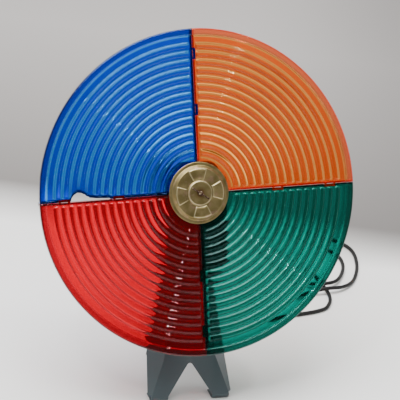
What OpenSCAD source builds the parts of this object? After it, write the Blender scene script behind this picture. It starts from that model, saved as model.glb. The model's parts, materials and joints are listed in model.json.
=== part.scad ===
// Motor-driven colour wheel on a folded sheet-steel stand.
// Millimetres, Z up, front towards -Y, origin on the floor under the wheel's centre.

/* [Wheel] */
// Outside diameter of the colour wheel
wheel_d = 406; // [340:1:440]
// Thickness of a panel's sheet
panel_t = 2; // [1.4:0.1:2.6]
// Gap between neighbouring panels
seam_gap = 1; // [1:0.1:4]
// Turn of the wheel at rest, from upright seams
wheel_turn = 2; // [-40:1:40]
// Number of ribs on each panel
rib_count = 14; // [4:1:14]
// Radius of the innermost rib's crest
rib_first = 50.5; // [47:0.5:52]
// Distance from rib to rib
rib_pitch = 10.1; // [9:0.1:10.4]
// Width of a rib at its foot
rib_w = 8; // [5:0.1:8.8]
// Height of a rib above the sheet
rib_h = 2; // [1:0.1:2.2]
// Flat strip between a radial edge and the ribs' ends
rib_margin = 5; // [4.5:0.1:8]
// Width of the lip round the rim
lip_w = 8; // [2:0.1:9]
// How far the rim's lip stands out on each side of the sheet
lip_rise = 2.2; // [1:0.1:3]
// Width of the bead along a radial edge
bead_w = 2.2; // [1.6:0.1:3]
// How far the bead stands behind the sheet
bead_back = 6; // [1:0.1:7]
// How far the bead stands in front of the sheet
bead_front = 0.8; // [0.6:0.1:1]
// Radius of the inner joining tongue
inner_tongue_r = 103; // [80:1:130]
// Radius of the outer joining tongue
outer_tongue_r = 172; // [150:1:184]
// Length of a joining tongue along the seam
tongue_len = 14; // [8:0.5:18]
// How far a tongue reaches over its neighbour
tongue_reach = 3; // [2:0.1:4]
// Thickness of a tongue
tongue_t = 1.2; // [1:0.1:1.6]
// Width of the slot through a tongue, from the next panel's edge
tongue_slot_w = 2; // [1:0.1:2.4]
// Wall left at both ends of a tongue's slot
tongue_wall = 2.5; // [1.5:0.1:3.5]
// Play of a tongue in its notch, all round
tongue_play = 0.3; // [0.1:0.05:0.4]

/* [Wear on the blue panel] */
// Radius where the broken-out notch is deepest
chip_r = 155; // [140:1:165]
// Depth of the broken-out notch
chip_depth = 12; // [6:0.5:16]
// Length of the notch towards the rim
chip_out = 8; // [5:0.5:12]
// Length of the notch's thin tail towards the hub
chip_tail = 40; // [25:1:48]

/* [Hub] */
// Diameter of the hub's front cap and rear disc
hub_d = 77; // [70:1:84]
// Sheet thickness of the front cap
cap_t = 0.8; // [0.6:0.1:1]
// Width of the flat ring that presses on the panels
cap_ring_w = 4; // [3:0.1:6]
// Height of the cap's middle above its ring
cap_rise = 4.5; // [3:0.1:6]
// Diameter of the raised boss in the middle
boss_d = 32; // [26:1:38]
// Height of the boss above the cap's middle
boss_rise = 2; // [1:0.1:3]
// Number of raised pads pressed in the cap
pad_count = 4; // [3:1:6]
// Angle that a raised pad covers
pad_angle = 44; // [20:1:54]
// Turn of the first pad's middle from the first seam
pad_turn = 4; // [-20:1:20]
// Height of a raised pad
pad_h = 0.9; // [0.3:0.1:1]
// Thickness of the rear disc
disc_t = 1.2; // [0.8:0.1:2]
// Diameter of the rear disc's locating pegs
peg_d = 4; // [3:0.1:5]
// Radius of the circle that the pegs stand on
peg_r = 24; // [20:0.5:26]
// Diameter of the sleeve behind the rear disc
sleeve_d = 12; // [10:0.5:16]
// Length of the sleeve
sleeve_len = 6; // [4:0.5:7]
// Diameter of the drive pin through the shaft's end
pin_d = 1.8; // [1.2:0.1:2.4]
// Length of the drive pin
pin_len = 26; // [16:1:28]
// Direction of the drive pin at rest, from level
pin_turn = -35; // [-80:1:80]

/* [Stand] */
// Height of the wheel's centre above the floor
hub_h = 260; // [245:1:300]
// Angle that the wheel and the plate lean back
lean = 25; // [18:1:30]
// Distance from the wheel's middle back to the plate
plate_back = 45; // [44:0.5:54]
// Thickness of the stand's sheet steel
sheet_t = 1.2; // [0.8:0.1:1.6]
// Width of the plate's head behind the motor
head_w = 82; // [80:1:90]
// Height of the head above the wheel's axis
head_top = 36; // [34:1:42]
// Length of the head below the wheel's axis
head_bottom = 112; // [108:1:122]
// Radius of the head's corners
head_round = 15; // [8:1:20]
// Width of the plate's flat face just below the head
neck_w = 44; // [36:1:52]
// Width of the plate's flat face at the knee
knee_w = 66; // [60:1:74]
// Distance of the knee below the axis, along the plate
knee_drop = 208; // [190:1:212]
// Width over both feet
foot_spread = 102; // [92:1:112]
// Top of the notch between the legs, below the axis
notch_drop = 217; // [213:1:225]
// Width of the notch between the feet
notch_w = 58; // [50:1:66]
// Radius of the notch's rounded top
notch_round = 4; // [2:0.5:6]
// Width of the folded side flange at the neck
flange_neck = 14; // [8:1:20]
// Width of the folded side flange at the knee
flange_knee = 28; // [20:1:32]
// Width of the folded side flange at the foot
flange_foot = 7; // [4:1:10]
// Angle that the side flanges are folded back
flange_fold = 48; // [35:1:70]
// Outside radius of the bend under each foot
foot_bend = 5; // [3:0.5:7]
// Length of the flat turned back under each foot
foot_tab = 16; // [10:1:22]

/* [Rear leg] */
// Width of the rear leg's strip
leg_w = 34; // [30:1:38]
// Top of the leg's pad on the plate, below the axis
pad_top = 26; // [24:1:28]
// Length of the leg's pad on the plate
pad_len = 28; // [26:1:34]
// Distance of the rear foot's heel behind the wheel's centre
heel_y = 70; // [60:1:72]
// Length of the flat under the rear leg
heel_tab = 16; // [10:1:18]
// Diameter of the rivets that hold the leg
rivet_d = 4; // [3:0.1:5]
// Diameter of a rivet's head
rivet_head_d = 7; // [6:0.1:8]
// Height of a rivet's head
rivet_head_h = 1.2; // [0.8:0.1:1.5]
// Distance between the rivets, across
rivet_gap = 18; // [14:1:20]
// Distance between the rivets, along the plate
rivet_rise = 15; // [12:1:17]

/* [Motor case] */
// Width of the motor cover
cover_w = 80; // [78:1:80]
// Top of the cover above the axis
cover_top = 24; // [22:0.5:25]
// Bottom of the cover below the axis
cover_bottom = 95; // [94:1:97]
// Distance from the wheel's middle back to the cover's front
cover_front = 11; // [10:0.5:11.5]
// Wall of the cover
cover_wall = 1; // [0.6:0.1:1.2]
// Radius of the cover's corners
cover_round = 13; // [8:1:14]
// Diameter of the cover's opening round the shaft bush
cover_eye = 16; // [15:0.5:20]
// Width of the ears that hold the cover
ear_w = 14; // [12:1:18]
// Length of the ears that hold the cover
ear_len = 10; // [9:0.5:10]
// Radius of the ears' corners
ear_round = 4; // [2:0.5:5]
// Middle of the air slots below the axis
vent_mid = 35; // [30:1:45]
// Number of air slots in each side of the cover
vent_count = 5; // [2:1:7]
// Length of an air slot
vent_len = 16; // [10:1:18]
// Width of an air slot
vent_w = 3; // [2:0.5:4]

/* [Gear train] */
// Diameter of the shaft that turns the wheel
shaft_d = 6; // [5:0.1:7]
// Diameter of the small gears' arbors and the rotor's shaft
arbor_d = 2.5; // [2:0.1:2.8]
// Running clearance of shafts, on the radius
run_fit = 0.04; // [0.02:0.01:0.08]
// Thickness of the gear plates
gear_plate_t = 1.2; // [1:0.1:1.4]
// Space between the gear plates
gear_space = 11; // [10.8:0.1:11.6]
// Distance from the wheel's middle back to the front gear plate
gear_front = 14.2; // [14:0.1:14.6]
// Width of the gear plates
gear_plate_w = 68; // [66:1:72]
// Thickness of the driven gears
gear_t = 2; // [1.5:0.1:2.2]
// Pressure angle of the teeth
pressure = 25; // [20:1:27]
// Outside diameter of the bushes that carry the shaft
bush_d = 10; // [9:0.1:11]

/* [Motor] */
// Thickness of the stator's stack
stack_t = 13; // [11:0.5:13.5]
// Width of the stator's stack
stack_w = 48; // [46:1:50]
// Width of an iron limb at the stack's sides
limb_w = 11; // [10:0.5:12]
// Height of the iron limb inside the coil
yoke_h = 10; // [8:0.5:11]
// Diameter of the rotor
rotor_d = 16; // [14:0.5:17]
// Air gap between rotor and stator
air_gap = 0.5; // [0.3:0.05:0.8]
// Wall of the coil's bobbin
bobbin_wall = 1; // [0.8:0.1:1.2]
// Height of the winding, in the stack's plane
winding_h = 8; // [5:0.5:8.5]
// Depth of the winding, across the stack
winding_deep = 2; // [1.5:0.1:2.2]
// Diameter of the machine screws
screw_d = 3; // [2.5:0.1:3]
// Diameter of a machine screw's head
screw_head_d = 5.4; // [5:0.1:5.6]
// Height of a machine screw's head
screw_head_h = 1.4; // [1:0.1:1.5]
// Diameter of the posts between plates
post_d = 6; // [5.5:0.1:6.5]

/* [Cord] */
// Diameter of the cord
cord_d = 5; // [4.6:0.1:5.2]
// Turns of the put-away coil, both layers together
coil_turns = 2.5; // [1.5:1:3.5]
// Radius of the coil's outermost turn
coil_r = 33; // [31:0.5:36]
// Diameter of the strain relief's root
relief_d = 9; // [8:0.1:9.5]
// Length of the strain relief behind the plate
relief_len = 26; // [20:1:30]
// Diameter of the strain relief's flange
relief_flange_d = 13; // [12:0.5:13.5]
// Length of the plug's body
plug_len = 34; // [28:1:40]
// Width of the plug's body
plug_w = 24; // [22:1:26]
// Thickness of the plug's body
plug_t = 17; // [15:0.5:17]
// Distance between the plug's blades
blade_gap = 12.7; // [12:0.1:13]
// Length of the plug's blades
blade_len = 17; // [14:0.5:18]

/* [Hidden] */
$fn = 96;

// Small overlap where two shapes of one piece are welded
weld = 0.3;
// Clearance of parts that are slid or dropped into place, on the radius
slip_fit = 0.1;
// Length of cuts that go right through
through = 60;
wheel_r = wheel_d / 2;
hub_r = hub_d / 2;
sheet_front = panel_t / 2;

// Depths behind the wheel's middle, measured along its axis
gear_plate_1 = -gear_front - gear_plate_t;
gear_plate_2 = gear_plate_1 - gear_space - gear_plate_t;
stack_back = gear_plate_2 - stack_t;
strap_t = 1;
strap_back = stack_back - strap_t;
plate_rear = -plate_back - sheet_t;

// Layers of the three gear pairs, front face of each
layer_gap = 0.8;
layer_1 = gear_plate_1 - layer_gap;
layer_2 = layer_1 - gear_t - 2 * layer_gap;
layer_3 = layer_2 - gear_t - layer_gap;
layers = [layer_1, layer_2, layer_3];
pinion_over = 0.3;

// Gear pairs: teeth of the driven gear and of its pinion, module, and direction from gear to pinion
gear_teeth = [48, 40, 50];
pinion_teeth = [12, 10, 10];
gear_module = [0.8, 0.6, 0.5];
pair_angle = [-50, -145, -102];

// Centres of the train, from the wheel's axis down to the rotor
function pair_distance(i) = gear_module[i] * (gear_teeth[i] + pinion_teeth[i]) / 2;
function step(i) = pair_distance(i) * [cos(pair_angle[i]), sin(pair_angle[i])];
second_at = step(0);
first_at = second_at + step(1);
rotor_at = first_at + step(2);

// Gear posts stand on a rectangle outside the stack
post_inset = 1;
post_x = gear_plate_w / 2 - post_d / 2 - post_inset;
post_top = 9;
post_low = -46;
gear_plate_top = 14;
gear_plate_low = -52;
gear_plate_round = 5;
posts = [for (x = [-post_x, post_x], y = [post_low, post_top]) [x, y]];

// Stator outline around the rotor and its coil window
stack_over = 5.5;
stack_under = 6;
coil_room = 1;
stack_top = rotor_at.y + rotor_d / 2 + air_gap + stack_over;
window_top = rotor_at.y - rotor_d / 2 - air_gap - stack_under;
bobbin_flange_h = bobbin_wall + winding_h + coil_room;
window_low = window_top - bobbin_flange_h - coil_room;
yoke_low = window_low - yoke_h;
window_w = stack_w - 2 * limb_w;
coil_mid = [0, (window_low + yoke_low) / 2, (gear_plate_2 + stack_back) / 2];
bobbin_len = window_w - coil_room;
bobbin_flange_t = 1.2;
stator_screw_x = stack_w / 2 - limb_w / 2;

// Points where the cover's ears are screwed down
ear_y = [cover_top + ear_len / 2, -cover_bottom - ear_len / 2];
nut_w = 6;
nut_h = 2.4;

// Foot of the stand: the bend is tangent to the plate's front and to the floor
bend_y = (plate_back + foot_bend + (foot_bend - hub_h) * sin(lean)) / cos(lean);
leg_end = -bend_y * sin(lean) + (hub_h - foot_bend) * cos(lean);
ankle_h = 2;
neck_drop = head_bottom - head_round;
notch_mid = notch_drop + notch_round;
notch_span = [notch_w / 2, leg_end - notch_mid];
notch_slope = atan2(notch_span.x, notch_span.y) - asin(notch_round / norm(notch_span));

// Where the cord leaves the plate, in the wheel's frame
exit_inset = 7.5;
exit_drop = 80;
exit_at = [cover_w / 2 - cover_wall - exit_inset, -exit_drop];
relief_flange_t = 1.2;

// Drive pin lies in a groove of the boss
cap_top = sheet_front + cap_rise + cap_t;
boss_top = cap_top + boss_rise;
pin_z = boss_top + pin_d / 2 - cap_t / 2;
shaft_over_pin = 1.6;
shaft_front = pin_z + pin_d / 2 + shaft_over_pin;

// Put-away coil on the floor behind the stand, in two layers over its tie
tie_t = 0.8;
coil_at = [34, 130];
lay = cord_d / 2;
coil_low = lay + tie_t + 0.2;
layer_rise = cord_d + 0.6;
turn_step = cord_d + 0.9;
coil_start = [coil_at.x + cord_d, coil_at.y - coil_r, coil_low];
tail_out = 9;
rings_per_turn = 24;

// Route of the free cord: out of the strain relief, down behind the plate and along the floor
over = lay + cord_d + 0.6;
ramp = lay + 3;
relief_end = in_world([exit_at.x, exit_at.y, plate_rear - relief_len]);
relief_aim = [0, cos(lean), -sin(lean)];
lead_points = concat([for (k = [0, 7, 14]) relief_end + k * relief_aim], [
    [32, 55, 145], [33, 64, 130], [37, 70, 102], [44, 74, 64], [58, 79, 28], [84, 87, 6],
    [118, 97, lay], [174, 112, lay], [236, 124, lay], [256, 139, lay], [265, 166, lay],
    [262, 210, lay], [256, 250, lay], [272, 283, lay], [297, 285, lay],
    [312, 267, lay], [309, 234, lay], [288, 197, ramp], [264, 184, over],
    [240, 192, ramp], [219, 216, lay], [216, 256, lay], [236, 296, lay], [274, 320, lay],
    [313, 315, lay], [336, 284, lay], [332, 242, lay], [313, 200, lay], [290, 178, ramp],
    [264, 171, over], [238, 167, ramp], [180, 148, lay], [124, 117, lay],
    [90, 101, lay], [63, coil_start.y, coil_low]],
    [for (k = [12, 0]) coil_start + [k, 0, 0]]);

// Place of a point of the wheel's frame in the part's frame
function in_world(p) = [p.x,
    p.y * sin(lean) - p.z * cos(lean),
    hub_h + p.y * cos(lean) + p.z * sin(lean)];

// Draws children in the wheel's frame: Y up the plate, Z out of the front
module on_axis() {
    translate([0, 0, hub_h])
        rotate([90 - lean, 0, 0])
            children();
}

// Rounded rectangle from its lower left to its upper right corner
module rounded(low, high, r) {
    translate(low + [r, 0])
        square(high - low - [2 * r, 0]);
    translate(low + [0, r])
        square(high - low - [0, 2 * r]);
    for (x = [low.x + r, high.x - r], y = [low.y + r, high.y - r])
        translate([x, y])
            circle(r);
}

// Plate between two depths of the wheel's frame
module slab(back, front) {
    translate([0, 0, back])
        linear_extrude(front - back)
            children();
}

// Machine screw: underside of the head at z = 0, shank towards -Z
module screw(length) {
    slot_w = 0.8;
    translate([0, 0, -length])
        cylinder(d = screw_d, h = length + weld);
    difference() {
        cylinder(d = screw_head_d, h = screw_head_h);
        translate([-screw_head_d, -slot_w / 2, screw_head_h / 2])
            cube([2 * screw_head_d, slot_w, screw_head_h]);
    }
}

// Outline of the plate's flat face below the head
module face_outline() {
    arc_steps = 8;
    function arc(a) = [notch_round * cos(a), notch_round * sin(a) - notch_mid];
    difference() {
        polygon([[-neck_w / 2, -neck_drop], [neck_w / 2, -neck_drop],
            [knee_w / 2, -knee_drop], [foot_spread / 2, -leg_end],
            [-foot_spread / 2, -leg_end], [-knee_w / 2, -knee_drop]]);
        polygon(concat([[notch_w / 2, -leg_end - 1], [notch_w / 2, -leg_end]],
            [for (i = [0 : arc_steps]) arc(notch_slope + i * (180 - 2 * notch_slope) / arc_steps)],
            [[-notch_w / 2, -leg_end], [-notch_w / 2, -leg_end - 1]]));
    }
}

// Side flange folded back along the line from one ridge point to the next
module flange(from, to, from_w, to_w) {
    span = to - from;
    step_back = 0.02;
    translate([from.x, from.y, -plate_back - step_back])
        rotate([0, 0, atan2(span.y, span.x)])
            rotate([-flange_fold, 0, 0])
                translate([0, 0, -sheet_t])
                    linear_extrude(sheet_t)
                        polygon([[-weld, 0], [norm(span) + weld, 0], [norm(span) + weld, to_w],
                            [-weld, from_w]]);
}

// Foot turned back under the leg: a bend of the sheet, then the flat on the floor
module foot(width) {
    steps = 12;
    turn = 90 + lean;
    function bend(r, a) = [-leg_end - r * sin(a), -plate_back - foot_bend + r * cos(a)];
    run = foot_tab * [-cos(turn), -sin(turn)];
    outer = [for (i = [0 : steps]) bend(foot_bend, turn * i / steps)];
    inner = [for (i = [steps : -1 : 0]) bend(foot_bend - sheet_t, turn * i / steps)];
    rotate([90, 0, 90])
        linear_extrude(width)
            polygon(concat(outer, [outer[steps] + run, inner[0] + run], inner));
}

module stand_plate() {
    foot_w = (foot_spread - notch_w) / 2;
    knee = [knee_w / 2, -knee_drop];
    sole = [foot_spread / 2, -leg_end];
    ankle = sole + ankle_h * (knee - sole) / norm(knee - sole);
    color([0.26, 0.30, 0.31])
        on_axis()
            difference() {
                union() {
                    slab(plate_rear, -plate_back) {
                        rounded([-head_w / 2, -head_bottom], [head_w / 2, head_top], head_round);
                        face_outline();
                    }
                    for (side = [0, 1])
                        mirror([side, 0, 0]) {
                            flange([neck_w / 2, -neck_drop], knee, flange_neck, flange_knee);
                            flange(knee, ankle, flange_knee, flange_foot);
                        }
                    for (x = [-foot_spread / 2, notch_w / 2])
                        translate([x, 0, 0])
                            foot(foot_w);
                }
                for (p = concat(posts, [for (y = ear_y) [0, y]]))
                    translate([p.x, p.y, -through])
                        cylinder(d = screw_d + 2 * slip_fit, h = through);
                for (x = [-rivet_gap / 2, rivet_gap / 2], y = rivet_rows())
                    translate([x, y, -through])
                        cylinder(d = rivet_d + 2 * slip_fit, h = through);
                translate([exit_at.x, exit_at.y, -through])
                    cylinder(d = relief_d + 2 * slip_fit, h = through);
            }
}

// Heights of the two rows of rivets, from the middle of the leg's pad
function rivet_rows() = let (mid = -pad_top - pad_len / 2) [mid - rivet_rise / 2, mid + rivet_rise / 2];

module rear_leg() {
    pad_high = in_world([0, -pad_top, plate_rear]);
    pad_end = in_world([0, -pad_top - pad_len, plate_rear]);
    back = sheet_t * [cos(lean), -sin(lean)];
    run = [heel_y, 0] - [pad_end.y, pad_end.z];
    side = sheet_t * [-run.y, run.x] / norm(run);
    function yz(p) = [p.y, p.z];
    color([0.26, 0.30, 0.31])
        difference() {
            translate([-leg_w / 2, 0, 0])
                rotate([90, 0, 90])
                    linear_extrude(leg_w)
                        polygon([yz(pad_high), yz(pad_end), [heel_y, 0], [heel_y + heel_tab, 0],
                            [heel_y + heel_tab, sheet_t], [heel_y + side.x, sheet_t],
                            yz(pad_end) + side + [0, sheet_t / 2], yz(pad_high) + back]);
            on_axis()
                for (x = [-rivet_gap / 2, rivet_gap / 2], y = rivet_rows())
                    translate([x, y, -through - plate_back])
                        cylinder(d = rivet_d + 2 * slip_fit, h = through);
        }
}

module leg_rivets() {
    back = plate_rear - sheet_t;
    color([0.45, 0.46, 0.46])
        on_axis()
            for (x = [-rivet_gap / 2, rivet_gap / 2], y = rivet_rows())
                translate([x, y, 0]) {
                    translate([0, 0, back - rivet_head_h])
                        cylinder(d = rivet_head_d, h = rivet_head_h);
                    translate([0, 0, back - weld])
                        cylinder(d = rivet_d, h = -plate_back - back + 2 * weld);
                    translate([0, 0, -plate_back])
                        cylinder(d = rivet_head_d, h = rivet_head_h);
                }
}

module motor_cover() {
    low = [-cover_w / 2, -cover_bottom];
    high = [cover_w / 2, cover_top];
    wall = [cover_wall, cover_wall];
    vent_pitch = 2 * vent_w;
    vent_top = -vent_mid + vent_pitch * (vent_count - 1) / 2;
    color([0.26, 0.30, 0.31])
        on_axis()
            difference() {
                union() {
                    slab(-plate_back, -cover_front)
                        rounded(low, high, cover_round);
                    slab(-plate_back, -plate_back + cover_wall)
                        rounded([-ear_w / 2, -cover_bottom - ear_len], [ear_w / 2, cover_top + ear_len],
                            ear_round);
                }
                slab(-plate_back - 1, -cover_front - cover_wall)
                    rounded(low + wall, high - wall, cover_round - cover_wall);
                translate([0, 0, -through])
                    cylinder(d = cover_eye, h = through);
                for (y = ear_y)
                    translate([0, y, -through])
                        cylinder(d = screw_d + 2 * slip_fit, h = through);
                for (i = [0 : vent_count - 1])
                    translate([-cover_w, vent_top - i * vent_pitch - vent_w / 2,
                        -(plate_back + cover_front + vent_len) / 2])
                        cube([2 * cover_w, vent_w, vent_len]);
            }
}

module cover_screws() {
    color([0.62, 0.62, 0.60])
        on_axis()
            for (y = ear_y)
                translate([0, y, -plate_back + cover_wall])
                    screw(cover_wall + sheet_t + nut_h + 2);
}

module cover_nuts() {
    color([0.62, 0.62, 0.60])
        on_axis()
            for (y = ear_y)
                translate([0, y, plate_rear - nut_h])
                    difference() {
                        cylinder(d = nut_w / cos(30), h = nut_h, $fn = 6);
                        translate([0, 0, -1])
                            cylinder(d = screw_d + 2 * run_fit, h = nut_h + 2);
                    }
}

// Plate that carries the gear train, with holes given as [x, y, diameter]
module gear_plate(back, holes) {
    on_axis()
        difference() {
            slab(back, back + gear_plate_t)
                rounded([-gear_plate_w / 2, gear_plate_low], [gear_plate_w / 2, gear_plate_top],
                    gear_plate_round);
            for (h = holes)
                translate([h.x, h.y, -through])
                    cylinder(d = h.z, h = through);
            for (p = posts)
                translate([p.x, p.y, -through])
                    cylinder(d = screw_d + 2 * slip_fit, h = through);
        }
}

arbor_hole = arbor_d + 2 * run_fit;

module front_gear_plate() {
    color([0.70, 0.69, 0.64])
        gear_plate(gear_plate_1, [[0, 0, bush_d + 2 * run_fit],
            [second_at.x, second_at.y, arbor_hole], [first_at.x, first_at.y, arbor_hole]]);
}

module rear_gear_plate() {
    color([0.70, 0.69, 0.64])
        gear_plate(gear_plate_2, concat([[0, 0, bush_d + 2 * run_fit],
            [second_at.x, second_at.y, arbor_hole], [first_at.x, first_at.y, arbor_hole],
            [rotor_at.x, rotor_at.y, arbor_hole]],
            [for (x = [-stator_screw_x, stator_screw_x]) [x, rotor_at.y, screw_d + 2 * slip_fit]]));
}

// Round post with a screw hole right through it
module post(back, front) {
    translate([0, 0, back])
        difference() {
            cylinder(d = post_d, h = front - back);
            translate([0, 0, -1])
                cylinder(d = screw_d + 2 * run_fit, h = front - back + 2);
        }
}

module gear_pillars() {
    color([0.75, 0.63, 0.35])
        on_axis()
            for (p = posts)
                translate([p.x, p.y, 0])
                    post(gear_plate_2 + gear_plate_t, gear_plate_1);
}

module motor_standoffs() {
    color([0.75, 0.63, 0.35])
        on_axis()
            for (p = posts)
                translate([p.x, p.y, 0])
                    post(-plate_back, gear_plate_2);
}

module frame_screws() {
    grip = 6;
    color([0.62, 0.62, 0.60])
        on_axis()
            for (p = posts)
                translate([p.x, p.y, -gear_front])
                    screw(-gear_front - gear_plate_2 + grip);
}

module motor_screws() {
    grip = 6;
    color([0.62, 0.62, 0.60])
        on_axis()
            for (p = posts)
                translate([p.x, p.y, plate_rear])
                    mirror([0, 0, 1])
                        screw(sheet_t + grip);
}

// Flanged bush through a gear plate
module bush(back, front, flange_back) {
    flange_t = 0.7;
    flange_over = 1.5;
    on_axis()
        difference() {
            union() {
                translate([0, 0, back])
                    cylinder(d = bush_d, h = front - back);
                translate([0, 0, flange_back])
                    cylinder(d = bush_d + 2 * flange_over, h = flange_t);
            }
            translate([0, 0, -through])
                cylinder(d = shaft_d + 2 * run_fit, h = through);
        }
}

module front_bush() {
    sleeve_gap = 0.5;
    color([0.72, 0.55, 0.30])
        bush(gear_plate_1, -sheet_front - disc_t - sleeve_len - sleeve_gap, -gear_front);
}

module rear_bush() {
    tail = 1;
    color([0.72, 0.55, 0.30])
        bush(gear_plate_2 - tail, gear_plate_2 + gear_plate_t, gear_plate_2 + gear_plate_t);
}

module stator_core() {
    color([0.34, 0.33, 0.33])
        on_axis()
            difference() {
                slab(stack_back, gear_plate_2)
                    difference() {
                        translate([-stack_w / 2, yoke_low])
                            square([stack_w, stack_top - yoke_low]);
                        translate([-window_w / 2, window_low])
                            square([window_w, window_top - window_low]);
                        translate(rotor_at)
                            circle(d = rotor_d + 2 * air_gap);
                    }
                for (x = [-stator_screw_x, stator_screw_x])
                    translate([x, rotor_at.y, -through])
                        cylinder(d = screw_d + 2 * slip_fit, h = through);
            }
}

// Box centred on the coil, as wide as the yoke plus a margin in both directions
module coil_box(length, high, deep) {
    translate(coil_mid - [length, yoke_h + 2 * high, stack_t + 2 * deep] / 2)
        cube([length, yoke_h + 2 * high, stack_t + 2 * deep]);
}

module bobbin() {
    flange_over = 0.4;
    flange_deep = bobbin_wall + winding_deep + flange_over;
    color([0.86, 0.82, 0.70])
        on_axis()
            difference() {
                union() {
                    coil_box(bobbin_len, bobbin_wall, bobbin_wall);
                    for (side = [-1, 1])
                        translate([side * (bobbin_len - bobbin_flange_t) / 2, 0, 0])
                            coil_box(bobbin_flange_t, bobbin_flange_h, flange_deep);
                }
                coil_box(bobbin_len + 2, slip_fit, slip_fit);
            }
}

module winding() {
    color([0.55, 0.28, 0.14])
        on_axis()
            difference() {
                coil_box(bobbin_len - 2 * bobbin_flange_t, bobbin_wall + winding_h,
                    bobbin_wall + winding_deep);
                coil_box(bobbin_len, bobbin_wall, bobbin_wall);
            }
}

module bearing_strap() {
    strap_w = 11;
    color([0.70, 0.69, 0.64])
        on_axis()
            difference() {
                slab(strap_back, stack_back)
                    translate([-stack_w / 2, rotor_at.y - strap_w / 2])
                        square([stack_w, strap_w]);
                translate([rotor_at.x, rotor_at.y, -through])
                    cylinder(d = arbor_hole, h = through);
                for (x = [-stator_screw_x, stator_screw_x])
                    translate([x, rotor_at.y, -through])
                        cylinder(d = screw_d + 2 * slip_fit, h = through);
            }
}

module stator_screws() {
    color([0.62, 0.62, 0.60])
        on_axis()
            for (x = [-stator_screw_x, stator_screw_x])
                translate([x, rotor_at.y, strap_back])
                    mirror([0, 0, 1])
                        screw(strap_t + stack_t + gear_plate_t);
}

module rotor_core() {
    end_play = 0.8;
    color([0.60, 0.60, 0.60])
        on_axis()
            translate([rotor_at.x, rotor_at.y, stack_back + end_play])
                difference() {
                    cylinder(d = rotor_d, h = stack_t - 2 * end_play);
                    translate([0, 0, -1])
                        cylinder(d = arbor_d + 2 * run_fit, h = stack_t + 2);
                }
}

// Toothed outline with one tooth on the +X axis
module toothed(teeth, m) {
    addendum = 0.8;
    dedendum = 1.1;
    tooth_share = 0.42;
    pitch_r = m * teeth / 2;
    base_r = pitch_r * cos(pressure);
    function involute(a) = tan(a) * 180 / PI - a;
    function half(r) = tooth_share * 180 / teeth + involute(pressure)
        - (r > base_r ? involute(acos(base_r / r)) : 0);
    function at(r, a) = r * [cos(a), sin(a)];
    radii = [pitch_r - dedendum * m, pitch_r - 0.3 * m, pitch_r + 0.3 * m, pitch_r + addendum * m];
    polygon([for (k = [0 : teeth - 1]) let (mid = k * 360 / teeth)
        each concat([for (r = radii) at(r, mid - half(r))],
            [for (i = [3 : -1 : 0]) at(radii[i], mid + half(radii[i]))])]);
}

// Driven gear of pair i, with a tooth towards its pinion
module driven(i) {
    slab(layers[i] - gear_t, layers[i])
        rotate([0, 0, pair_angle[i]])
            toothed(gear_teeth[i], gear_module[i]);
}

// Pinion of pair i, with a gap towards the gear that it drives, from back to front
module pinion(i, back, front) {
    slab(back, front)
        rotate([0, 0, pair_angle[i] + 180 + 180 / pinion_teeth[i]])
            toothed(pinion_teeth[i], gear_module[i]);
}

// Arbor that runs in both gear plates
module arbor() {
    end_play = 0.2;
    translate([0, 0, gear_plate_2 + end_play])
        cylinder(d = arbor_d, h = -gear_front - gear_plate_2 - 2 * end_play);
}

module rotor_shaft() {
    front = layers[2] + pinion_over;
    back = layers[2] - gear_t - pinion_over;
    color([0.66, 0.66, 0.65])
        on_axis()
            translate([rotor_at.x, rotor_at.y, 0]) {
                translate([0, 0, strap_back])
                    cylinder(d = arbor_d, h = front - strap_back);
                pinion(2, back, front);
            }
}

module first_gear() {
    color([0.75, 0.63, 0.35])
        on_axis()
            translate([first_at.x, first_at.y, 0]) {
                driven(2);
                pinion(1, layers[2] - weld, layers[1] + pinion_over);
                arbor();
            }
}

module second_gear() {
    color([0.75, 0.63, 0.35])
        on_axis()
            translate([second_at.x, second_at.y, 0]) {
                driven(1);
                pinion(0, layers[1] - weld, layers[0] + pinion_over);
                arbor();
            }
}

module output_gear() {
    color([0.75, 0.63, 0.35])
        on_axis()
            difference() {
                driven(0);
                translate([0, 0, -through])
                    cylinder(d = shaft_d + 2 * run_fit, h = through);
            }
}

module output_shaft() {
    tail = 1.4;
    back = gear_plate_2 - tail;
    nose = 1;
    color([0.66, 0.66, 0.65])
        on_axis()
            difference() {
                union() {
                    translate([0, 0, back])
                        cylinder(d = shaft_d, h = shaft_front - nose - back);
                    translate([0, 0, shaft_front - nose])
                        cylinder(d1 = shaft_d, d2 = shaft_d - 2 * nose, h = nose);
                }
                pin_hole(run_fit);
            }
}

// Space that the drive pin takes, with a clearance on its radius
module pin_hole(fit) {
    rotate([0, 0, wheel_turn + pin_turn])
        translate([0, 0, pin_z])
            rotate([0, 90, 0])
                cylinder(d = pin_d + 2 * fit, h = pin_len + 2 * fit, center = true);
}

module drive_pin() {
    color([0.50, 0.47, 0.42])
        on_axis()
            pin_hole(0);
}

module rear_disc() {
    color([0.72, 0.71, 0.66])
        on_axis()
            rotate([0, 0, wheel_turn])
                difference() {
                    union() {
                        translate([0, 0, -sheet_front - disc_t])
                            cylinder(d = hub_d, h = disc_t);
                        for (k = [0 : 3])
                            rotate([0, 0, 45 + 90 * k])
                                translate([peg_r, 0, -sheet_front - weld])
                                    cylinder(d = peg_d, h = panel_t + weld + 1);
                    }
                    translate([0, 0, -through / 2])
                        cylinder(d = shaft_d + 2 * run_fit, h = through);
                }
}

module hub_sleeve() {
    color([0.72, 0.55, 0.30])
        on_axis()
            translate([0, 0, -sheet_front - disc_t - sleeve_len])
                difference() {
                    cylinder(d = sleeve_d, h = sleeve_len);
                    translate([0, 0, -1])
                        cylinder(d = shaft_d + 2 * run_fit, h = sleeve_len + 2);
                }
}

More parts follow.
